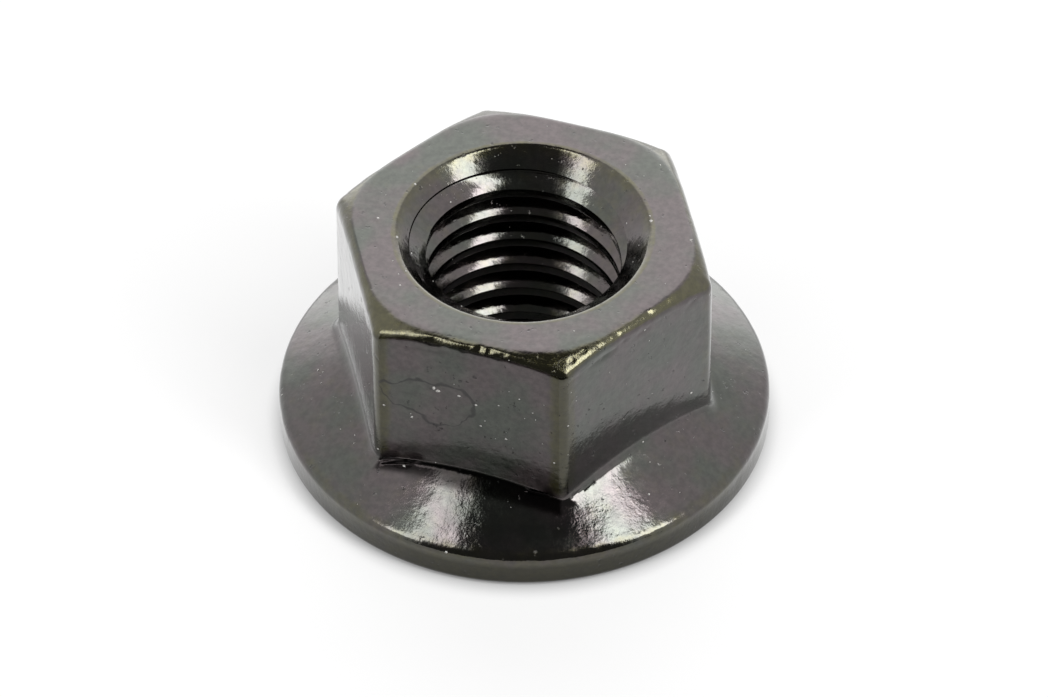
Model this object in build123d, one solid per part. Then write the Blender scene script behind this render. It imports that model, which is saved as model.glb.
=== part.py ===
from build123d import *
import math
import os

# A hexagon flange nut, forged in one piece and standing on its bearing face.
# Lengths are millimetres and angles are degrees. The origin is the centre of
# the bearing face, +Z runs up the thread's axis, and two flats face -Y and +Y.

# Hexagon
across_flats = 15.0
nut_height = 10.9
corner_radius = 0.45

# Crown, the cone that cuts back the hexagon's top corners
crown_diameter = 14.5
crown_angle = 30.0
crown_rounding = 0.5
flat_edge_rounding = 0.12

# Flange
flange_diameter = 21.6
rim_height = 1.6
flange_slope = 27.5
rim_rounding = 0.45
bearing_edge_chamfer = 0.2
neck_fillet = 0.7

# Threaded hole, bored to the thread's minor diameter
thread_diameter = 10.0
thread_pitch = 1.5
countersink_angle = 90.0
top_countersink_diameter = 11.1
bearing_countersink_diameter = 10.8
mouth_rounding = 0.1
cutter_overrun = 1.0

# Sizes that follow from these
flange_radius = flange_diameter / 2
crown_radius = crown_diameter / 2
bore_radius = (thread_diameter - thread_pitch) / 2
top_countersink_radius = top_countersink_diameter / 2
bearing_countersink_radius = bearing_countersink_diameter / 2
countersink_slope = 90 - countersink_angle / 2


def rise(run, slope):
    """Height gained over a level distance on a surface with this slope."""
    return run * math.tan(math.radians(slope))


def turned(points, roundings=()):
    """A closed outline of (radius, height) points turned about the thread's axis.

    The roundings give the radius at some of the outline's points.
    """
    face = make_face(Polyline(*points, close=True))
    for (radius, height), rounding in roundings:
        corner = face.vertices().sort_by_distance((radius, height, 0))[0]
        face = fillet(corner, rounding)
    return revolve(Plane.XZ * face, Axis.Z)


def make_flange():
    """Upright rim and the cone that climbs from it to the axis."""
    rim_top = (flange_radius, rim_height)
    return turned(
        [
            (0, 0),
            (flange_radius - bearing_edge_chamfer, 0),
            (flange_radius, bearing_edge_chamfer),
            rim_top,
            (0, rim_height + rise(flange_radius, flange_slope)),
        ],
        [(rim_top, rim_rounding)],
    )


def make_hexagon():
    """Hexagon with rounded upright edges under the cone of the crown."""
    outline = RegularPolygon(across_flats / 2, 6, major_radius=False)
    prism = extrude(fillet(outline.vertices(), corner_radius), nut_height)
    crown_edge = (crown_radius, nut_height)
    outer_height = nut_height - rise(flange_radius - crown_radius, crown_angle)
    crown = turned(
        [(0, 0), (flange_radius, 0), (flange_radius, outer_height), crown_edge, (0, nut_height)],
        [(crown_edge, crown_rounding)],
    )
    hexagon = prism & crown
    return fillet(new_edges(prism, crown, combined=hexagon), flat_edge_rounding)


def make_bore():
    """Threaded hole and its two countersinks, which run on past both faces."""
    bearing_depth = rise(bearing_countersink_radius - bore_radius, countersink_slope)
    top_depth = rise(top_countersink_radius - bore_radius, countersink_slope)
    overrun_height = rise(cutter_overrun, countersink_slope)
    return turned(
        [
            (0, -overrun_height),
            (bearing_countersink_radius + cutter_overrun, -overrun_height),
            (bore_radius, bearing_depth),
            (bore_radius, nut_height - top_depth),
            (top_countersink_radius + cutter_overrun, nut_height + overrun_height),
            (0, nut_height + overrun_height),
        ]
    )


def make_nut():
    """Hexagon blended into the flange and bored through, its upper mouth rounded."""
    flange = make_flange()
    hexagon = make_hexagon()
    body = flange + hexagon
    body = fillet(new_edges(flange, hexagon, combined=body), neck_fillet)
    bore = make_bore()
    nut = body - bore
    top_mouth = new_edges(body, bore, combined=nut).sort_by(Axis.Z)[-1]
    return fillet(top_mouth, mouth_rounding)


os.makedirs("parts", exist_ok=True)
export_step(make_nut(), "parts/flange_nut.step")
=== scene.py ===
import math
import random
import bmesh
import bpy
from mathutils import Matrix, Vector, noise
from mathutils.bvhtree import BVHTree
from mathutils.kdtree import KDTree


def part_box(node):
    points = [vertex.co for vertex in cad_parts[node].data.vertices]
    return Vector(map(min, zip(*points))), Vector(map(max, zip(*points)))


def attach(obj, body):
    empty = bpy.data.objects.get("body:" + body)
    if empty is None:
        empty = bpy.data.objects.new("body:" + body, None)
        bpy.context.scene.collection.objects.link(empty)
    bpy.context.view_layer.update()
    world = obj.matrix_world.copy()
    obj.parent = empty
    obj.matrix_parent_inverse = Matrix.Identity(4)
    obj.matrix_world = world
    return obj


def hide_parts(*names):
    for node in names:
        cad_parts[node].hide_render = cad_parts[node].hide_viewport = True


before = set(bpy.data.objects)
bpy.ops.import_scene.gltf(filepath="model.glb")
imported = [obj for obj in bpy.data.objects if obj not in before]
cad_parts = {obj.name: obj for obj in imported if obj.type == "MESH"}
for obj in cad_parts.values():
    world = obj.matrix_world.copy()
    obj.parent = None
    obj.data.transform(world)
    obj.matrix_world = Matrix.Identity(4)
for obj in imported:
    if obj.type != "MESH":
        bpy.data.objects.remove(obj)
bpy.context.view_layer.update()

# Shapes are worked out in millimetres and degrees, and go into the scene in metres.
MM = 0.001

# Sizes of the nut. Its reach and height come from the frame.
_, high_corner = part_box("flange_nut")
flange_radius = high_corner.x / MM
nut_height = high_corner.z / MM
flat_distance = 7.5
corner_radius = 0.55
crown_radius = 7.15
crown_corner_gain = 0.4
crown_angle = 27.0
crown_rounding = 0.5
front_crown_rounding = 1.5
flat_edge_rounding = 0.7
front_flat_edge_rounding = 0.4
flat_edge_variation = 0.15
flat_edge_wave = 2.4
rim_height = 1.6
flange_slope = 27.5
rim_rounding = 0.45
bearing_edge_rounding = 0.3
neck_fillet = 0.75
stained_neck_fillet = 0.32
top_mouth_radius = 5.55
bearing_mouth_radius = 5.4
countersink_slope = 43.0
mouth_rounding = 0.4

# Right-hand thread. One point on a crest's lower edge sets where the turns lie, and they run
# on past both faces.
thread_pitch = 1.5
crest_radius = 4.25
root_radius = 5.0
crest_width = 0.447
root_width = 0.1875
crest_edge_rounding = 0.05
root_rounding = 0.09
crest_point_height = 7.453
crest_point_angle = 106.3
highest_turn = 2
lowest_turn = -6

# How far the threaded wall reaches past the thread's root into the countersinks
top_wall_overrun = 0.07
bearing_wall_overrun = 0.05

# How finely the nut is divided: columns round the side, steps along an arc, and rows between
# one arc and the next
columns_per_flat = 60
columns_per_corner = 10
arc_steps = 8
neck_steps = 10
mouth_steps = 6
thread_steps = 2
bearing_rows = 2
rim_rows = 3
cone_rows = 10
flat_rows = 12
top_rows = 3

# Rays from a point inside the nut find the crown. They turn from level to upright: a few meet
# the flat, more of them its rounded edge, and the rest the crown and the top face.
crown_eye_radius = 6.0
crown_eye_depth = 1.6
crown_eye_reach = 4.0
ray_halvings = 24
flat_rays = 3
edge_rays = 15
top_rays = 15
edge_spread = 15.0

# Wear of the crown's edge, which is full over the edge and half over the next few rows. The
# nut's back has these shares of it and of its olive tint.
half_worn_rows = 6
back_wear = 0.3
back_olive = 0.55

# Distances behind the side over which the crown begins to look cut back, and below the top
# face over which the looks begin
cut_back_fade = (0.01, 0.08)
top_fade = (0.0, 0.1)

# Dents of worn edges: their size, the noise level at which they start, their depth for each
# unit of noise above it, and where in the noise they lie. They push inwards and down.
edge_dents = [(0.45, 0.25, 0.07, (0, 0, 0)), (1.3, 0.1, 0.08, (7, 3, 1))]
dent_fall = 0.6

# Looks that the surface has in a share from 0 to 1 at each point: the olive tint of worn steel,
# painted shade that darkens the rim and the corners facing the camera, a matt film, and deep
# painted shade at the foot of one flat and low on the rim. The thread's wall has the same shares
# all over.
looks = ("olive", "painted_shade", "film", "deep_painted_shade")
wall_looks = (0.2, 0.0, 0.0, 0.0)

# Shares of two looks on a corner, the olive tint and painted shade, and the width over which they fade
# out on a flat
corner_olive = 0.8
corner_painted_shade = 0.7
corner_fading = 0.6

# The flat that faces this way, in degrees from the camera's side, carries the film and the
# stain, and has a sharper foot with deep painted shade. The rim is browner and has deep
# painted shade on another side.
stained_shaded_flat_azimuth = -18.6
rim_tint_and_shade_azimuth = 30

# Ranges over which what belongs to one side fades in, as cosines of the angle to that side, the
# painted shades among them
front_crown_fade = (0.3, 1.0)
front_wear_and_shade_fade = (0.1, 0.7)
outer_deep_shade_fade = (0.75, 0.95)
sharp_foot_fade = (0.5, 1.0)
film_fade = (0.97, 1.0)
deep_shade_fade = (0.9, 1.0)
rim_tint_and_shade_fade = (-0.2, 0.6)

# Camera of the photograph, in pixels of its frame, millimetres and degrees
photo_width = 1048
photo_height = 697
focal_pixels = 11338.0
camera_distance = 500.0
camera_azimuth = 18.64
camera_elevation = 44.82
camera_tilt = 0.312
camera_roll = 0.408
sensor_width = 36.0

# Marks that the photograph shows, as (x, y) pixels of its frame
nick_pixels = [
    (463, 351), (480, 349), (490, 351), (503, 355), (572, 361), (583, 352), (617, 335), (648, 313),
]
groove_pixels = [
    [(382, 459), (400, 458), (423, 461)],
    [(383, 465), (398, 464), (413, 465)],
    [(528, 491), (540, 494), (552, 497)],
    [(573, 497), (584, 490), (595, 481)],
]
stain_pixel = (430, 400)
lint_pixels = [(434, 388), (438, 391)]
speck_pixels = [
    (476, 405), (384, 405), (412, 417), (506, 439), (481, 426), (459, 396),
    (554, 463), (568, 426), (378, 449), (404, 466), (354, 443), (355, 435), (650, 216), (651, 221),
    (691, 240), (645, 330), (691, 393), (415, 184), (378, 218), (397, 237), (400, 285), (406, 271),
    (318, 370), (323, 372), (321, 383), (282, 395), (643, 442), (630, 495), (649, 494), (446, 552),
]

# Nicks differ in size between two limits. A groove is a row of equal dents.
nick_radius = (0.12, 0.22)
nick_depth = (0.03, 0.06)
groove_radius = 0.15
groove_depth = 0.05
groove_steps = 5

# Dust: how many specks there are in all, their radii and shape, how low the fine ones may lie,
# and how far any may stand above the top face
speck_count = 165
speck_radius = (0.045, 0.075)
fine_speck_radius = (0.018, 0.035)
lint_radius = 0.1
speck_length = (0.7, 1.4)
speck_breadth = (0.7, 1.1)
speck_thickness = 0.45
speck_wave = 9
speck_raggedness = 0.3
dust_floor = 0.6
dust_rise = 0.006

# Rays that find places for the fine specks start at this distance and aim into a box, which
# reaches this far to each side and between these heights
dust_ray_start = 30
dust_aim_reach = 10
dust_aim_heights = (1, 9)

# Outline of the stain: its size, how far it wanders and how wide its line is, with the noise
# scales of both, and how near to the flat it starts and stops fading
stain_width = 4.1
stain_height = 2.4
stain_squareness = 2.2
stain_wander = 1.8
stain_wander_scale = 700.0
stain_line_width = (0.06, 0.26)
stain_line_scale = 1100.0
stain_reach = (1.0, 1.5)

# Edges sharper than this stay sharp in the nut's shading
sharp_angle = 38

# Colours of the steel and the dust
warm_black = (0.062, 0.049, 0.05, 1)
cold_black = (0.045, 0.05, 0.041, 1)
olive_tint = (0.062, 0.057, 0.024, 1)
grey_dust = (0.55, 0.53, 0.5, 1)
white_dust = (0.9, 0.89, 0.86, 1)
dust_roughness = 0.8
dust_scale = 2500.0

# Noises of the steel, as scale in waves to the metre, detail and roughness. The streaks are
# stretched upwards.
steel_noises = {
    "patches": (420.0, 3.0, 0.5),
    "mottle": (1500.0, 4.0, 0.6),
    "shade": (3500.0, 5.0, 0.65),
    "pits": (2600.0, 3.0, 0.6),
    "haze": (700.0, 4.0, 0.6),
    "peel": (3200.0, 2.0, 0.5),
    "grain": (11000.0, 3.0, 0.6),
    "battering": (4500.0, 4.0, 0.7),
    "waves": (800.0, 1.0, 0.5),
}
streak_noise = (6500.0, 3.0, 0.5)
streak_stretch = (1, 1, 0.08)

# Noise levels between which a pattern goes from one end to the other
patch_levels = (0.35, 0.65)
olive_levels = (0.55, 1.35)
shade_levels = (0.3, 0.7)
pit_levels = (0.66, 0.72)
haze_levels = (0.3, 0.75)
stain_line_levels = (0.4, 0.65)

# Brightness of the steel, and what a look, a pit or the stain multiplies it by; painted shade and deep
# painted shade darken it
shade_range = (0.78, 1.18)
spot_shades = {"painted_shade": 0.5, "deep_painted_shade": 0.15, "film": 1.15, "pits": 0.5, "stain": 0.35}

# Gloss of the steel and of its clear coat, which the matt film and the deep painted shade thin out
steel_roughness = (0.08, 0.2)
film_roughness = 0.22
coat_roughness = 0.05
film_coat = 0.7
deep_shade_coat = 0.1

# Relief of the steel. Its unit is a length in metres.
bump_unit = 0.0000028
bump_heights = {"peel": 2.4, "grain": 1.0, "streaks": 0.6, "battered": 5.0, "pits": -3.0, "waves": 8.0}

# Light tent, in metres, degrees from the camera's side and brightness, where 1 is white
tent_radius = 2.0
tent_columns = 180
tent_rows = 45
side_level = 1.15
back_level = 2.28
dark_level = 0.1
front_opening = (40, 52)
back_panel = (136, 158)
ceiling_opening = (62, 74)

# Strip softboxes left and right of the camera, a metre away. Each stands on the level of its
# azimuth and elevation and reaches up from there.
softboxes = {
    "softbox_left": {"azimuth": -56.4, "elevation": 29.2, "lean": -9.5, "width": 0.22, "level": 5.6},
    "softbox_right": {"azimuth": 56.9, "elevation": 27.5, "lean": 8.0, "width": 0.29, "level": 8.5},
}
softbox_height = 1.0
back_lamp_width = 1.0
back_lamp_height = 0.9
back_lamp_elevation = 30.0
world_fill = 0.15

# Table top, just under the nut and clear from below: its reach in metres, its colour, and the
# glow that makes it white. The glow fades out towards the nut between two radii about a
# centre shifted towards the camera, a painted shadow round the nut and in its bore.
floor_reach = 3.0
floor_gap = 0.01
floor_colour = 0.4
floor_glow = 0.64
painted_shadow_fade_start = 9.7
painted_shadow_fade_end = 11.5
painted_shadow_shift = 0.3

# Black card on the table in front of the nut, out of the photograph's frame, which only
# reflections see
card_start = 30.0
card_end = 400.0
card_height = 0.1
card_angle = 47
card_steps = 24
card_level = 0.02


def rise(run, slope):
    """Height gained over a level distance on a surface with this slope."""
    return run * math.tan(math.radians(slope))


def cone_height(radius):
    """Height of the flange's upper cone at a distance from the axis."""
    return rim_height + rise(flange_radius - radius, flange_slope)


def crown_height(radius, start):
    """Height of the crown's cone at a distance from the axis, where it starts at another."""
    return nut_height - rise(radius - start, crown_angle)


def mixed(start, end, share):
    """Value between two others."""
    return start + (end - start) * share


def eased(value, start, end):
    """0 before start, 1 after end, and a smooth step between them."""
    share = min(max((value - start) / (end - start), 0), 1)
    return share * share * (3 - 2 * share)


def unit(angle):
    """Unit vector at an angle in a plane."""
    return Vector((math.cos(math.radians(angle)), math.sin(math.radians(angle))))


def photo_direction(azimuth, elevation):
    """Unit vector from the nut towards an azimuth right of the camera and an elevation."""
    turn = math.radians(azimuth + camera_azimuth)
    lift = math.radians(elevation)
    return Vector((math.sin(turn) * math.cos(lift), -math.cos(turn) * math.cos(lift), math.sin(lift)))


def facing(direction, azimuth):
    """Cosine of the angle from a level unit vector to an azimuth right of the camera."""
    return direction.dot(photo_direction(azimuth, 0).xy)


def at(direction, radius, height):
    """Point at a radius along a level direction."""
    return Vector((direction.x * radius, direction.y * radius, height))


def tilted(direction, slope):
    """Normal of a cone of this slope that falls away along a level direction."""
    return at(direction, math.sin(math.radians(slope)), math.cos(math.radians(slope)))


def divided(start, end, steps):
    """Points between two ends, without the ends."""
    return [start.lerp(end, step / steps) for step in range(1, steps)]


def arc(centre, start, end, steps):
    """Points of the arc about centre that turns the radius vector start into end."""
    turn = start.angle(end)
    points = []
    for step in range(steps + 1):
        share = step / steps
        part = start * math.sin((1 - share) * turn) + end * math.sin(share * turn)
        points.append(centre + part / math.sin(turn))
    return points


def rounded_path(points, steps):
    """Line through (x, y) ends and (x, y, radius) corners, with an arc at each corner."""
    path = [Vector(points[0])]
    for before, corner, after in zip(points, points[1:], points[2:]):
        tip = Vector(corner[:2])
        back = (Vector(before[:2]) - tip).normalized()
        ahead = (Vector(after[:2]) - tip).normalized()
        half = back.angle(ahead) / 2
        reach = corner[2] / math.tan(half)
        centre = tip + (back + ahead).normalized() * corner[2] / math.sin(half)
        path += arc(centre, tip + back * reach - centre, tip + ahead * reach - centre, steps)
    path.append(Vector(points[-1]))
    return path


def blended(first, second, radius, cosine):
    """Distance outside two faces that meet in a rounding, from the distances outside each.

    The cosine is that of the angle between the faces' normals.
    """
    along_first = first + radius
    along_second = second + radius
    if along_second <= along_first * cosine:
        return first
    if along_first <= along_second * cosine:
        return second
    squares = along_first ** 2 + along_second ** 2 - 2 * along_first * along_second * cosine
    return math.sqrt(squares / (1 - cosine ** 2)) - radius


def hexagon_side():
    """(point, outward normal, share of a corner) round the hexagon's upright side, anticlockwise.

    The share is 1 on a corner's rounding and fades out on the flats beside it.
    """
    half_flat = rise(flat_distance - corner_radius, 30)
    corner_distance = (flat_distance - corner_radius) / math.cos(math.radians(30))
    for sector in range(6):
        corner_angle = 60 * sector - 60
        centre = unit(corner_angle) * corner_distance
        for step in range(columns_per_corner + 1):
            normal = unit(corner_angle + 60 * (step / columns_per_corner - 0.5))
            yield centre + normal * corner_radius, normal, 1
        normal = unit(corner_angle + 30)
        along = Vector((-normal.y, normal.x))
        for step in range(1, columns_per_flat):
            offset = half_flat * (2 * step / columns_per_flat - 1)
            corner_share = 1 - eased(half_flat - abs(offset), 0, corner_fading)
            yield normal * flat_distance + along * offset, normal, corner_share


def rim_section():
    """(radius, height) points of the rim's two roundings, from the bearing face up to the cone."""
    inner_radius = flange_radius - 1
    corners = [
        (inner_radius, 0),
        (flange_radius, 0, bearing_edge_rounding),
        (flange_radius, rim_height, rim_rounding),
        (inner_radius, cone_height(inner_radius)),
    ]
    return rounded_path(corners, arc_steps)[1:-1]


def mouth_section():
    """(radius, height) points of the top mouth's rounding, from the top face inwards."""
    corners = [
        (crown_radius, nut_height),
        (top_mouth_radius, nut_height, mouth_rounding),
        (crest_radius, nut_height - rise(top_mouth_radius - crest_radius, countersink_slope)),
    ]
    return rounded_path(corners, mouth_steps)[1:-1]


def neck_section(side, normal, fillet):
    """Points of the fillet from the flange's cone up to one point of the side."""
    ball = side + normal * fillet
    foot = ball.normalized()
    lift = fillet / math.cos(math.radians(flange_slope))
    centre = at(foot, ball.length, cone_height(ball.length) + lift)
    return arc(centre, -tilted(foot, flange_slope) * fillet, at(-normal, fillet, 0), neck_steps)


def ray_angles(edge_angle):
    """Angles of the rays that find the crown. They lie closest together round the flat's edge."""
    low, high = edge_angle - edge_spread, edge_angle + edge_spread
    angles = [low * step / flat_rays for step in range(flat_rays)]
    angles += [low + (high - low) * step / edge_rays for step in range(edge_rays)]
    angles += [high + (90 - high) * step / (top_rays - 1) for step in range(top_rays)]
    return angles


def crown_section(side, normal):
    """(radius, height) points from a flat's upper part over the crown to the top face."""
    reach = side.length
    head = side.normalized()
    slant = head.dot(normal)
    cornerwards = (1 + math.cos(6 * math.atan2(side.y, side.x))) / 2
    crown_start = crown_radius + crown_corner_gain * cornerwards
    front = eased(facing(head, 0), *front_crown_fade)
    rounding = mixed(crown_rounding, front_crown_rounding, front)
    edge_rounding = mixed(flat_edge_rounding, front_flat_edge_rounding, front)
    variation = noise.noise(Vector((side.x, side.y, 3)) / flat_edge_wave)
    edge_rounding += flat_edge_variation * front * variation
    crown_cosine = math.cos(math.radians(crown_angle))
    edge_cosine = slant * math.sin(math.radians(crown_angle))

    def outside_by(point):
        cone = (point.y - crown_height(point.x, crown_start)) * crown_cosine
        crown = blended(cone, point.y - nut_height, rounding, crown_cosine)
        return blended((point.x - reach) * slant, crown, edge_rounding, edge_cosine)

    eye = Vector((crown_eye_radius, nut_height - crown_eye_depth))
    edge = Vector((reach, crown_height(reach, crown_start))) - eye
    points = []
    for angle in ray_angles(math.degrees(math.atan2(edge.y, edge.x))):
        ray = unit(angle)
        near, far = 0.0, crown_eye_reach
        for _ in range(ray_halvings):
            middle = (near + far) / 2
            if outside_by(eye + ray * middle) < 0:
                near = middle
            else:
                far = middle
        points.append(eye + ray * near)
    return points


def crown_rows(crown, reach, front, olive, painted_shade, film):
    """The crown's points past the flat, each with its wear and its shares of the looks.

    Where the crown cuts back the side, which reaches this far, it is olive, and has neither
    painted shade nor the matt film.
    """
    rows = []
    first = flat_rays + 1
    worn_end = flat_rays + edge_rays
    for row, point in enumerate(crown[first:], first):
        wear = 1 if row < worn_end else 0.5 if row < worn_end + half_worn_rows else 0
        below = eased(nut_height - point.z, *top_fade)
        cut_back = eased(reach - point.xy.length, *cut_back_fade) * below
        kept = (1 - cut_back) * below
        tint = max(cut_back * mixed(back_olive, 1.0, front), olive * below)
        rows.append((point, wear * mixed(back_wear, 1.0, front), tint, painted_shade * kept, film * kept, 0))
    return rows


def outside(side, normal, corner):
    """Outside of the nut past one point of the side, from the bearing face's mouth over the
    rim, neck, flat and crown to the top mouth. Each point comes with its share of wear and
    then with those of the looks in their order.
    """
    facing_stained_shaded_flat = facing(normal, stained_shaded_flat_azimuth)
    fillet = mixed(neck_fillet, stained_neck_fillet, eased(facing_stained_shaded_flat, *sharp_foot_fade))
    foot = (side + normal * fillet).normalized()
    head = side.normalized()
    bearing_mouth = at(head, bearing_mouth_radius, 0)
    rim = [at(foot, *point) for point in rim_section()]
    neck = neck_section(side, normal, fillet)
    crown = [at(head, *point) for point in crown_section(side, normal)]
    mouth = [at(head, *point) for point in mouth_section()]
    bearing = [bearing_mouth] + divided(bearing_mouth, rim[0], bearing_rows)
    band = divided(rim[arc_steps], rim[arc_steps + 1], rim_rows)
    cone = divided(rim[-1], neck[0], cone_rows)
    flat = divided(neck[-1], crown[0], flat_rows) + crown[: flat_rays + 1]

    front = eased(facing(head, 0), *front_wear_and_shade_fade)
    film = eased(facing_stained_shaded_flat, *film_fade)
    # Deep painted shade in the crease at this flat's foot, and on the outer part of the cone below it
    deep_painted_shade = eased(facing_stained_shaded_flat, *deep_shade_fade)
    outer_deep_shade = deep_painted_shade * eased(facing(head, 0), *outer_deep_shade_fade)
    # The rim is browner and has deep painted shade towards one side
    rim_tint_and_shade = eased(facing(head, rim_tint_and_shade_azimuth), *rim_tint_and_shade_fade)
    olive = corner * front * corner_olive
    # Painted shade on the corners that face the camera
    painted_shade = corner * front * corner_painted_shade

    # Points, their wear, and their shares of olive, painted shade, film and deep painted shade
    parts = [
        (bearing, 0, 0, 0, 0, 0),
        (rim[: arc_steps + 1], 0, 0.3 + 0.4 * rim_tint_and_shade, 1, 0, 0.4 * rim_tint_and_shade),
        (band, 0.3, 0.4 + 0.3 * rim_tint_and_shade, 1, 0, 0.4 * rim_tint_and_shade),
        (rim[arc_steps + 1:], 0.4, 0.4 * front, 0.3, 0, 0),
        (cone[:-2], 0, 0.1, 0, 0, 0),
        (cone[-2:-1], 0, 0.1, 0, 0, outer_deep_shade * 0.7),
        (cone[-1:], 0, 0.1, 0, 0, max(deep_painted_shade * 0.7, outer_deep_shade)),
        (neck[:-2], 0, 0.1, 0, 0, deep_painted_shade),
        (neck[-2:], 0, 0.1, 0, film, 0),
        (flat, corner * 0.4, olive, painted_shade, film, 0),
    ]
    rows = [(point, *shares) for points, *shares in parts for point in points]
    rows += crown_rows(crown, side.length, front, olive, painted_shade, film)
    rows += [(point, 0, 0, 0, 0, 0) for point in divided(crown[-1], mouth[0], top_rows)]
    rows += [(point, 0.1, 0.5, 0, 0, 0) for point in mouth]
    return rows


def thread_turn():
    """One turn of the thread's section as (radius, height) points from the top down."""
    flank_height = (thread_pitch - crest_width - root_width) / 2
    root_start = crest_width + flank_height
    corners = [
        (crest_radius, crest_width / 2),
        (crest_radius, crest_width, crest_edge_rounding),
        (root_radius, root_start, root_rounding),
        (root_radius, root_start + root_width, root_rounding),
        (crest_radius, thread_pitch, crest_edge_rounding),
        (crest_radius, thread_pitch + crest_width / 2),
    ]
    section = rounded_path(corners, thread_steps)[:-1]
    lower_flank = thread_steps + 1
    upper_flank = 3 * (thread_steps + 1)
    for row in (upper_flank, lower_flank):
        section.insert(row + 1, section[row].lerp(section[row + 1], 0.5))
    return section[::-1]


def countersink_radius(height):
    """Distance from the axis to the cone of the wider countersink at a height."""
    top = top_mouth_radius - rise(nut_height - height, 90 - countersink_slope)
    return max(top, bearing_mouth_radius - height)


def bore(direction, turned):
    """Threaded wall under one point of the top mouth, from the top countersink down.

    Turned is the angle from the crest point, so that the turns climb anticlockwise.
    Returns the points and whether each lies where a turn runs out into a countersink.
    """
    root_depth = rise(top_mouth_radius - root_radius, countersink_slope)
    top_limit = nut_height - root_depth + top_wall_overrun
    bearing_limit = bearing_mouth_radius - root_radius - bearing_wall_overrun
    base = crest_point_height + thread_pitch * turned / 360
    path = []
    for turn in range(highest_turn, lowest_turn - 1, -1):
        for point in thread_turn():
            path.append(Vector((point.x, base + turn * thread_pitch + point.y)))

    clear = [point.x - countersink_radius(point.y) for point in path]
    crossing = [False] * len(path)
    for row in range(len(path) - 1):
        if clear[row] * clear[row + 1] >= 0:
            continue
        share = clear[row] / (clear[row] - clear[row + 1])
        moved = row if share < 0.5 else row + 1
        if crossing[moved]:
            continue
        path[moved] = path[row].lerp(path[row + 1], share)
        crossing[moved] = True
    points = []
    for row, point in enumerate(path):
        height = min(max(point.y, bearing_limit), top_limit)
        if clear[row] < 0 and not crossing[row]:
            points.append(at(direction, countersink_radius(height), height))
        else:
            points.append(at(direction, point.x, height))
    return points, crossing


def worn(point, share):
    """A point moved inwards by the shallow dents that its edge has taken."""
    if share == 0:
        return point
    dent = 0.0
    for size, start, depth, place in edge_dents:
        dent += max(0.0, noise.noise(point / size + Vector(place)) - start) * depth
    inward = Vector((-point.x, -point.y, 0)).normalized() - Vector((0, 0, dent_fall))
    return point + inward.normalized() * dent * share


def nut_columns():
    """Columns of points round the nut, anticlockwise: the outside of each, and the threaded
    wall that goes on from it down to the bearing face's mouth.

    Returns the outsides, the walls, where each wall meets a countersink, and the shares of
    the looks at all points.
    """
    outsides, walls, crossings, shares = [], [], [], []
    previous = None
    for side, normal, corner in hexagon_side():
        rows = outside(side, normal, corner)
        direction = rows[-1][0].xy.normalized()
        angle = math.degrees(math.atan2(direction.y, direction.x))
        if previous is None:
            turned = angle - crest_point_angle
        else:
            turned += (angle - previous) % 360
        previous = angle
        wall, crossing = bore(direction, turned)
        outsides.append([worn(point, wear) for point, wear, *_ in rows])
        walls.append(wall)
        crossings.append(crossing)
        shares += [look_shares for _, _, *look_shares in rows] + [wall_looks] * len(wall)
    return outsides, walls, crossings, shares


def wall_faces(here, there, here_crossing, there_crossing, shift):
    """Faces of the threaded wall between two columns that start at these vertices.

    The shift is how many rows later the same turn comes in the column there: one turn's rows
    where the last column meets the first, and none elsewhere.
    """
    bottom = len(here_crossing) - 1
    faces = []
    for row in range(bottom + shift):
        here_row, here_next = min(row, bottom), min(row + 1, bottom)
        there_row, there_next = max(row - shift, 0), max(row + 1 - shift, 0)
        a, b = here + here_row, there + there_row
        c, d = there + there_next, here + here_next
        if here_crossing[here_row] and there_crossing[there_next]:
            faces += [(a, b, c), (a, c, d)]
        elif here_crossing[here_next] and there_crossing[there_row]:
            faces += [(a, b, d), (b, c, d)]
        else:
            faces.append((a, b, c, d))
    return faces


def nut_mesh():
    """The whole nut as one closed mesh, with its looks as attributes."""
    outsides, walls, crossings, shares = nut_columns()
    column_count = len(outsides)
    row_count = len(outsides[0])
    stride = row_count + len(walls[0])
    faces = []
    for column in range(column_count):
        beside = (column + 1) % column_count
        here, there = column * stride, beside * stride
        for row in range(row_count):
            faces.append((here + row, there + row, there + row + 1, here + row + 1))
        shift = 0 if beside else len(thread_turn())
        here_wall, there_wall = here + row_count, there + row_count
        faces += wall_faces(here_wall, there_wall, crossings[column], crossings[beside], shift)
        faces.append((here + stride - 1, there + stride - 1, there, here))

    mesh = bpy.data.meshes.new("nut")
    vertices = [point * MM for rows, wall in zip(outsides, walls) for point in rows + wall]
    mesh.from_pydata(vertices, [], faces)
    for look, values in zip(looks, zip(*shares)):
        mesh.attributes.new(look, "FLOAT", "POINT").data.foreach_set("value", values)
    return mesh


def cleaned(mesh):
    """Joins points that coincide and drops the faces that shrink away with them."""
    work = bmesh.new()
    work.from_mesh(mesh)
    bmesh.ops.remove_doubles(work, verts=work.verts, dist=0.000001)
    bmesh.ops.dissolve_degenerate(work, edges=work.edges, dist=0.0000005)
    work.to_mesh(mesh)
    work.free()
    mesh.validate()
    return mesh


def camera_axes():
    """Right, up and forward of the photograph's camera, which is aimed, tilted and rolled."""
    forward = -photo_direction(0, camera_elevation)
    right = forward.cross(Vector((0, 0, 1))).normalized()
    forward = Matrix.Rotation(math.radians(camera_tilt), 3, right) @ forward
    up = right.cross(forward)
    roll = Matrix.Rotation(math.radians(camera_roll), 3, forward)
    return roll @ right, roll @ up, forward


def seen_at(surface, pixel):
    """Point and normal of the surface under a pixel of the photograph."""
    right, up, forward = camera_axes()
    place = photo_direction(0, camera_elevation) * camera_distance * MM
    across = right * (pixel[0] - photo_width / 2)
    upwards = up * (photo_height / 2 - pixel[1])
    ray = forward * focal_pixels + across + upwards
    point, normal, _, _ = surface.ray_cast(place, ray.normalized())
    return point, normal


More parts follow.
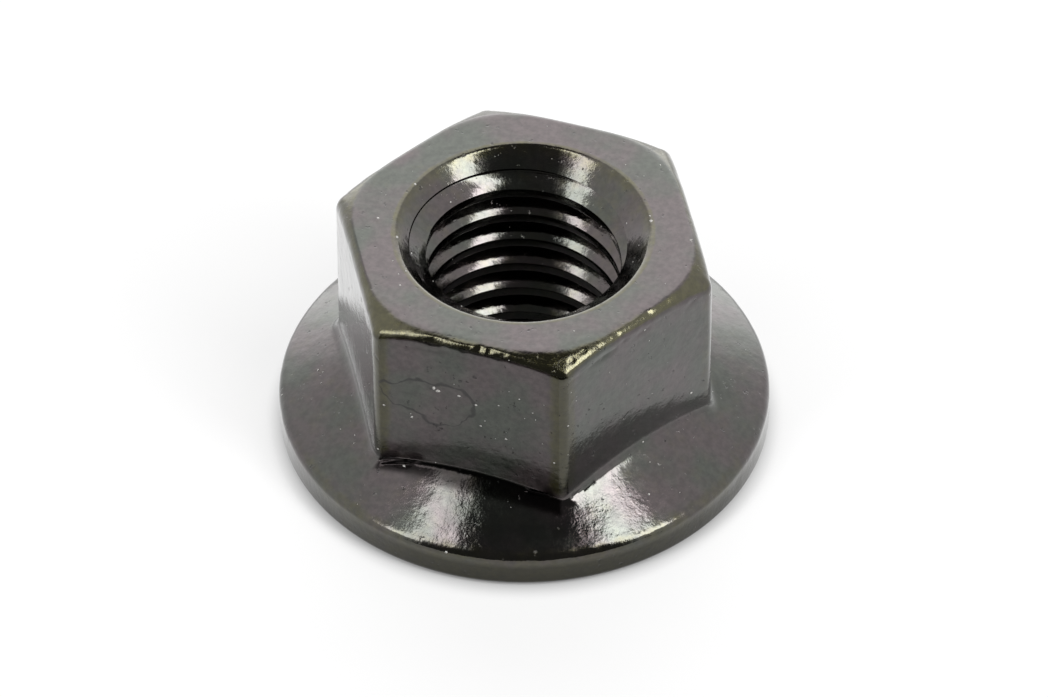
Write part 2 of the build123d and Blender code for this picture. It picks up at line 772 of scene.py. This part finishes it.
def dented(mesh, dents):
    """Pushes the mesh in by (point, normal, radius, depth) dents with soft borders."""
    tree = KDTree(len(mesh.vertices))
    for vertex in mesh.vertices:
        tree.insert(vertex.co, vertex.index)
    tree.balance()
    for point, normal, radius, depth in dents:
        for _, index, distance in tree.find_range(point, radius):
            share = (1 - (distance / radius) ** 2) ** 2
            mesh.vertices[index].co -= normal * depth * share


def photo_dents(surface):
    """Nicks on the crown's edge and grooves at its foot, where the photograph shows them."""
    chance = random.Random(5)
    dents = []
    for pixel in nick_pixels:
        point, normal = seen_at(surface, pixel)
        radius, depth = chance.uniform(*nick_radius), chance.uniform(*nick_depth)
        dents.append((point, normal, radius * MM, depth * MM))
    for line in groove_pixels:
        for start, end in zip(line, line[1:]):
            for step in range(groove_steps):
                pixel = Vector(start).lerp(Vector(end), step / groove_steps)
                point, normal = seen_at(surface, pixel)
                dents.append((point, normal, groove_radius * MM, groove_depth * MM))
    return dents


def added(name, data):
    """Object of this mesh, lamp or camera, put into the scene."""
    thing = bpy.data.objects.new(name, data)
    bpy.context.scene.collection.objects.link(thing)
    return thing


def make_nut():
    """The nut, and its surface before the dents as a tree that rays can be cast on."""
    mesh = cleaned(nut_mesh())
    points = [vertex.co for vertex in mesh.vertices]
    surface = BVHTree.FromPolygons(points, [face.vertices for face in mesh.polygons])
    dented(mesh, photo_dents(surface))
    mesh.shade_smooth()
    mesh.set_sharp_from_angle(angle=math.radians(sharp_angle))
    nut = added("nut", mesh)
    weighted = nut.modifiers.new("even_shading", "WEIGHTED_NORMAL")
    weighted.keep_sharp = True
    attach(nut, "root")
    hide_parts("flange_nut")
    return nut, surface


def dust_places(surface, chance):
    """(point, normal, radius) of each speck: those of the photograph, and finer ones all over."""
    places = [(*seen_at(surface, pixel), chance.uniform(*speck_radius)) for pixel in speck_pixels]
    places += [(*seen_at(surface, pixel), lint_radius) for pixel in lint_pixels]
    while len(places) < speck_count:
        outwards = Vector((chance.uniform(-1, 1), chance.uniform(-1, 1), chance.uniform(0.1, 1)))
        start = outwards.normalized() * (dust_ray_start * MM)
        across = [chance.uniform(-dust_aim_reach, dust_aim_reach) for _ in range(2)]
        aim = Vector((*across, chance.uniform(*dust_aim_heights))) * MM
        point, normal, _, _ = surface.ray_cast(start, (aim - start).normalized())
        if point is not None and point.z > dust_floor * MM:
            places.append((point, normal, chance.uniform(*fine_speck_radius)))
    return places


def make_dust(surface):
    """Specks of white dust as flat ragged balls, the same ones in every run."""
    chance = random.Random(11)
    noise.seed_set(11)
    work = bmesh.new()
    for point, normal, radius in dust_places(surface, chance):
        turn = normal.to_track_quat("Z", "Y").to_matrix().to_4x4()
        length, breadth = chance.uniform(*speck_length), chance.uniform(*speck_breadth)
        shape = Matrix.Diagonal((length, breadth, speck_thickness, 1))
        move = Matrix.Translation(point) @ turn @ shape
        ball = bmesh.ops.create_icosphere(work, subdivisions=1, radius=radius * MM, matrix=move)
        for vertex in ball["verts"]:
            shift = noise.noise_vector(vertex.co / MM * speck_wave)
            vertex.co += shift * radius * MM * speck_raggedness
            vertex.co.z = min(vertex.co.z, (nut_height + dust_rise) * MM)
    mesh = bpy.data.meshes.new("dust")
    work.to_mesh(mesh)
    work.free()
    mesh.shade_smooth()
    dust = added("dust", mesh)
    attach(dust, "root")
    return dust


def new_material(name):
    """A material with nodes, and its node tree."""
    material = bpy.data.materials.new(name)
    material.use_nodes = True
    return material, material.node_tree


def new_node(tree, kind, values, **settings):
    """Adds a node. The values set its inputs, or link them where they are sockets."""
    node = tree.nodes.new(kind)
    for name, setting in settings.items():
        setattr(node, name, setting)
    for name, value in values.items():
        if isinstance(value, bpy.types.NodeSocket):
            tree.links.new(value, node.inputs[name])
        else:
            node.inputs[name].default_value = value
    return node


def place_node(tree):
    """Place on the object, in metres."""
    return new_node(tree, "ShaderNodeTexCoord", {}).outputs["Object"]


def math_node(tree, operation, first, second=0.0):
    """Result of a calculation with one or two numbers."""
    return new_node(tree, "ShaderNodeMath", {0: first, 1: second}, operation=operation).outputs[0]


def vector_node(tree, operation, first, second):
    """Result of a calculation with two vectors."""
    node = new_node(tree, "ShaderNodeVectorMath", {0: first, 1: second}, operation=operation)
    return node.outputs["Value" if operation in ("DOT_PRODUCT", "DISTANCE") else "Vector"]


def noise_node(tree, place, scale, detail=2.0, roughness=0.5, output=0):
    """Noise as one number, or as three with output 1."""
    values = {"Vector": place, "Scale": scale, "Detail": detail, "Roughness": roughness}
    return new_node(tree, "ShaderNodeTexNoise", values).outputs[output]


def ramp_node(tree, value, start, end, low=0.0, high=1.0):
    """Low below start, high above end, and a smooth step between them."""
    values = {"Value": value, "From Min": start, "From Max": end, "To Min": low, "To Max": high}
    return new_node(tree, "ShaderNodeMapRange", values, interpolation_type="SMOOTHSTEP").outputs[0]


def share_node(tree, share, low, high):
    """Low where the share is 0, and high where it is 1."""
    return ramp_node(tree, share, 0.0, 1.0, low, high)


def mix_node(tree, share, first, second):
    """Colour between two colours, which are the node's inputs 6 and 7."""
    values = {0: share, 6: first, 7: second}
    return new_node(tree, "ShaderNodeMix", values, data_type="RGBA").outputs[2]


def stain_node(tree, place, surface):
    """1 on the stain's thin outline on one flat and 0 elsewhere."""
    centre, normal = seen_at(surface, stain_pixel)
    upwards = Vector((0, 0, 1))
    along = upwards.cross(normal)
    wander = noise_node(tree, place, stain_wander_scale, output=1)
    wander = vector_node(tree, "SUBTRACT", wander, (0.5, 0.5, 0.5))
    wander = vector_node(tree, "MULTIPLY", wander, [stain_wander * MM] * 3)
    offset = vector_node(tree, "ADD", vector_node(tree, "SUBTRACT", place, centre), wander)
    parts = []
    for axis, size in ((along, stain_width), (upwards, stain_height)):
        part = vector_node(tree, "DOT_PRODUCT", offset, axis / (size / 2 * MM))
        parts.append(math_node(tree, "POWER", math_node(tree, "ABSOLUTE", part), stain_squareness))
    level = math_node(tree, "ADD", *parts)
    gap = math_node(tree, "ABSOLUTE", math_node(tree, "SUBTRACT", level, 1.0))
    thickness = noise_node(tree, place, stain_line_scale)
    thickness = ramp_node(tree, thickness, *stain_line_levels, *stain_line_width)
    line = ramp_node(tree, gap, 0.0, thickness, 1.0, 0.0)
    depth = math_node(tree, "ABSOLUTE", vector_node(tree, "DOT_PRODUCT", offset, normal))
    near = ramp_node(tree, depth, *[reach * MM for reach in stain_reach], 1.0, 0.0)
    return math_node(tree, "MULTIPLY", line, near)


def steel_colour(tree, noises, spots):
    """Nearly black in two tints, olive where the steel is worn, and darker or lighter in spots, with
    painted shade among them.
    """
    patches = ramp_node(tree, noises["patches"], *patch_levels)
    colour = mix_node(tree, patches, warm_black, cold_black)
    olive = math_node(tree, "ADD", spots["olive"], noises["mottle"])
    colour = mix_node(tree, ramp_node(tree, olive, *olive_levels), colour, olive_tint)
    shade = ramp_node(tree, noises["shade"], *shade_levels, *shade_range)
    for spot, level in spot_shades.items():
        shade = math_node(tree, "MULTIPLY", shade, share_node(tree, spots[spot], 1.0, level))
    return vector_node(tree, "MULTIPLY", colour, shade)


def steel_bump(tree, noises, spots):
    """Normal of the steel's relief: orange peel, grain, streaks, battered corners and pits."""
    battered = math_node(tree, "MULTIPLY", noises["battering"], spots["olive"])
    relief = {**noises, "battered": battered, "pits": spots["pits"]}
    height = 0.0
    for part, level in bump_heights.items():
        height = math_node(tree, "ADD", height, math_node(tree, "MULTIPLY", relief[part], level))
    values = {"Height": height, "Distance": bump_unit, "Strength": 1.0}
    return new_node(tree, "ShaderNodeBump", values).outputs[0]


def steel_material(surface):
    """Glossy black oxide on forged steel: faint tints, orange peel, streaks, pits, a stain and painted
    shade.
    """
    material, tree = new_material("black_steel")
    shader = tree.nodes["Principled BSDF"]
    place = place_node(tree)
    noises = {name: noise_node(tree, place, *values) for name, values in steel_noises.items()}
    streak_place = vector_node(tree, "MULTIPLY", place, streak_stretch)
    noises["streaks"] = noise_node(tree, streak_place, *streak_noise)
    spots = {}
    for look in looks:
        spots[look] = new_node(tree, "ShaderNodeAttribute", {}, attribute_name=look).outputs["Fac"]
    spots["pits"] = ramp_node(tree, noises["pits"], *pit_levels)
    spots["stain"] = stain_node(tree, place, surface)

    haze = ramp_node(tree, noises["haze"], *haze_levels, *steel_roughness)
    haze = math_node(tree, "ADD", haze, share_node(tree, spots["film"], 0.0, film_roughness))
    coat = share_node(tree, spots["film"], 1.0, film_coat)
    # The deep painted shade also takes most of the coat away
    coat = math_node(tree, "MULTIPLY", coat, share_node(tree, spots["deep_painted_shade"], 1.0, deep_shade_coat))
    bump = steel_bump(tree, noises, spots)

    tree.links.new(steel_colour(tree, noises, spots), shader.inputs["Base Color"])
    tree.links.new(haze, shader.inputs["Roughness"])
    tree.links.new(coat, shader.inputs["Coat Weight"])
    tree.links.new(bump, shader.inputs["Normal"])
    tree.links.new(bump, shader.inputs["Coat Normal"])
    shader.inputs["Metallic"].default_value = 1.0
    shader.inputs["Coat Roughness"].default_value = coat_roughness
    return material


def dust_material():
    """Pale dust, each speck a little different."""
    material, tree = new_material("pale_dust")
    shader = tree.nodes["Principled BSDF"]
    colour = mix_node(tree, noise_node(tree, place_node(tree), dust_scale), grey_dust, white_dust)
    tree.links.new(colour, shader.inputs["Base Color"])
    shader.inputs["Roughness"].default_value = dust_roughness
    return material


def make_camera():
    """The photograph's camera."""
    right, up, forward = camera_axes()
    data = bpy.data.cameras.new("camera")
    data.sensor_width = sensor_width
    data.lens = focal_pixels / photo_width * sensor_width
    data.clip_start = 0.01
    data.clip_end = 50
    camera = added("camera", data)
    turned = Matrix((right, up, -forward)).transposed().to_4x4()
    place = photo_direction(0, camera_elevation) * camera_distance * MM
    camera.matrix_world = Matrix.Translation(place) @ turned
    bpy.context.scene.camera = camera


def make_softbox(name, azimuth, elevation, lean, width, height, lift, level):
    """Softbox whose face has this radiance. It stands a metre away, square to a direction, and
    is moved up along its face. Its top leans to higher azimuths.
    """
    data = bpy.data.lights.new(name, "AREA")
    data.shape = "RECTANGLE"
    data.size = width
    data.size_y = height
    data.energy = level * width * height * math.pi
    lamp = added(name, data)
    place = photo_direction(azimuth, elevation)
    turn = place.to_track_quat("Z", "Y").to_matrix() @ Matrix.Rotation(math.radians(-lean), 3, "Z")
    lamp.matrix_world = Matrix.Translation(place + turn @ Vector((0, lift, 0))) @ turn.to_4x4()
    return lamp


def make_back_lamp():
    """Lamp behind the tent's back wall. The wall is what reflections show of it."""
    lamp = make_softbox(
        "back_lamp", 180, back_lamp_elevation, 0, back_lamp_width, back_lamp_height, 0, back_level
    )
    lamp.visible_glossy = False


def seen_directly(tree):
    """1 on camera, glossy and transmission rays and 0 on the rest."""
    path = new_node(tree, "ShaderNodeLightPath", {}).outputs
    either = math_node(tree, "MAXIMUM", path["Is Camera Ray"], path["Is Glossy Ray"])
    return math_node(tree, "MAXIMUM", either, path["Is Transmission Ray"])


def make_world():
    """White surroundings, which light matt surfaces more softly than they show."""
    world = bpy.data.worlds.new("surroundings")
    bpy.context.scene.world = world
    world.use_nodes = True
    tree = world.node_tree
    background = tree.nodes["Background"]
    background.inputs["Color"].default_value = (1, 1, 1, 1)
    strength = share_node(tree, seen_directly(tree), world_fill, 1.0)
    tree.links.new(strength, background.inputs["Strength"])


def plain_piece(name, vertices, faces, material):
    """Object of one mesh with one material, for the stage."""
    mesh = bpy.data.meshes.new(name)
    mesh.from_pydata(vertices, [], faces)
    mesh.materials.append(material)
    return added(name, mesh)


def only_reflected(piece):
    """Hides a piece of the stage from all but reflections."""
    piece.visible_camera = False
    piece.visible_diffuse = False
    piece.visible_shadow = False


def bare_material(name):
    """A material without a shader, its node tree and the input that the shader goes into."""
    material, tree = new_material(name)
    tree.nodes.remove(tree.nodes["Principled BSDF"])
    return material, tree, tree.nodes["Material Output"].inputs["Surface"]


def table_material():
    """Matt white that glows a little, fading out near the nut in a painted shadow, and is clear from
    below.
    """
    material, tree, output = bare_material("white_table")
    matt = new_node(tree, "ShaderNodeBsdfDiffuse", {"Color": (*[floor_colour] * 3, 1)})
    # The glow fades out round a centre near the nut: a painted shadow
    middle = photo_direction(0, 0) * painted_shadow_shift * MM
    radius = vector_node(tree, "DISTANCE", place_node(tree), middle)
    strength = ramp_node(tree, radius, painted_shadow_fade_start * MM, painted_shadow_fade_end * MM, 0.0, floor_glow)
    strength = math_node(tree, "MULTIPLY", seen_directly(tree), strength)
    glow = new_node(tree, "ShaderNodeEmission", {"Strength": strength})
    both = new_node(tree, "ShaderNodeAddShader", {0: matt.outputs[0], 1: glow.outputs[0]})
    from_below = new_node(tree, "ShaderNodeNewGeometry", {}).outputs["Backfacing"]
    clear = new_node(tree, "ShaderNodeBsdfTransparent", {})
    shaders = {0: from_below, 1: both.outputs[0], 2: clear.outputs[0]}
    tree.links.new(new_node(tree, "ShaderNodeMixShader", shaders).outputs[0], output)
    return material


def make_floor():
    """Table top, lit and shadowed by the lamps, with a painted shadow round the nut in its glow."""
    level = -floor_gap * MM
    sides = ((-1, -1), (1, -1), (1, 1), (-1, 1))
    corners = [(x * floor_reach, y * floor_reach, level) for x, y in sides]
    floor = plain_piece("floor", corners, [(0, 1, 2, 3)], table_material())


def tent_level(azimuth, elevation):
    """Brightness of the tent's wall in a direction."""
    wall = mixed(side_level, back_level, eased(abs(azimuth), *back_panel))
    lit = eased(abs(azimuth), *front_opening) * (1 - eased(elevation, *ceiling_opening))
    return mixed(dark_level, wall, lit)


def make_tent():
    """Light tent round the nut, open towards the camera, that only reflections see."""
    vertices = []
    levels = []
    for row in range(tent_rows + 1):
        elevation = 90 * row / tent_rows
        for column in range(tent_columns):
            azimuth = 360 * column / tent_columns - 180
            vertices.append(photo_direction(azimuth, elevation) * tent_radius)
            levels.append(tent_level(azimuth, elevation))
    faces = []
    for row in range(tent_rows):
        for column in range(tent_columns):
            here = row * tent_columns + column
            beside = row * tent_columns + (column + 1) % tent_columns
            faces.append((here, beside, beside + tent_columns, here + tent_columns))
    material, tree, output = bare_material("tent_cloth")
    material.cycles.emission_sampling = "NONE"
    brightness = new_node(tree, "ShaderNodeAttribute", {}, attribute_name="brightness")
    glow = new_node(tree, "ShaderNodeEmission", {"Strength": brightness.outputs["Fac"]})
    tree.links.new(glow.outputs[0], output)
    tent = plain_piece("tent", vertices, faces, material)
    tent.data.attributes.new("brightness", "FLOAT", "POINT").data.foreach_set("value", levels)
    only_reflected(tent)


def make_card():
    """Black card in front of the nut that only reflections see."""
    vertices = []
    for step in range(card_steps + 1):
        direction = photo_direction(card_angle * (2 * step / card_steps - 1), 0)
        for radius in (card_start, card_end):
            vertices.append(at(direction, radius * MM, card_height * MM))
    faces = [(2 * step, 2 * step + 1, 2 * step + 3, 2 * step + 2) for step in range(card_steps)]
    material, tree, output = bare_material("black_card")
    glow = new_node(tree, "ShaderNodeEmission", {"Strength": card_level})
    tree.links.new(glow.outputs[0], output)
    card = plain_piece("card", vertices, faces, material)
    only_reflected(card)


nut, surface = make_nut()
nut.data.materials.append(steel_material(surface))
dust = make_dust(surface)
dust.data.materials.append(dust_material())
make_camera()
make_floor()
make_tent()
make_card()
for name, box in softboxes.items():
    make_softbox(name, **box, height=softbox_height, lift=softbox_height / 2)
make_back_lamp()
make_world()
bpy.context.scene.view_settings.view_transform = "Standard"
